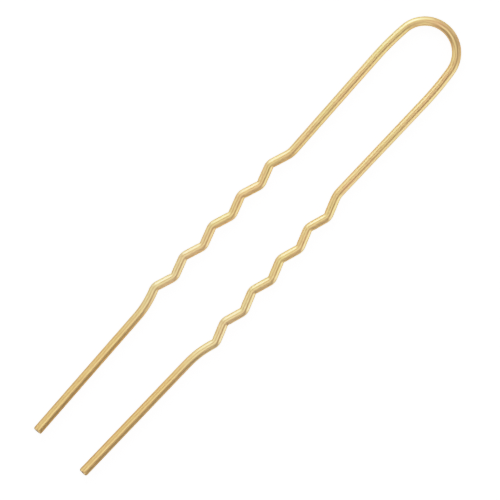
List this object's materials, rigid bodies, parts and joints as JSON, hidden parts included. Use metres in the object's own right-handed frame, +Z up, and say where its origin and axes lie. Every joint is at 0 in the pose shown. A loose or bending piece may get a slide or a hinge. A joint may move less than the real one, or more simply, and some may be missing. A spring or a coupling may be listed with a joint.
{
  "type": "hairpin",
  "caption": "Plain U-shaped hairpin bent from round gold-coloured wire, with wavy crimps halfway down both straight legs and square-cut tips, lying flat.",
  "frame": {"origin": "under the middle of the pin's box, on the surface that the pin lies on", "axes": "+Y from the tips to the head bend, +X from one leg to the other, +Z up, square to the flat of the pin"},
  "size_m": [0.0118, 0.075, 0.0013],
  "materials": {
    "gold_wire": "satin pale-gold plating over drawn steel wire"
  },
  "bodies": {
    "root": {"bent_wire": "gold_wire"}
  },
  "joints": []
}
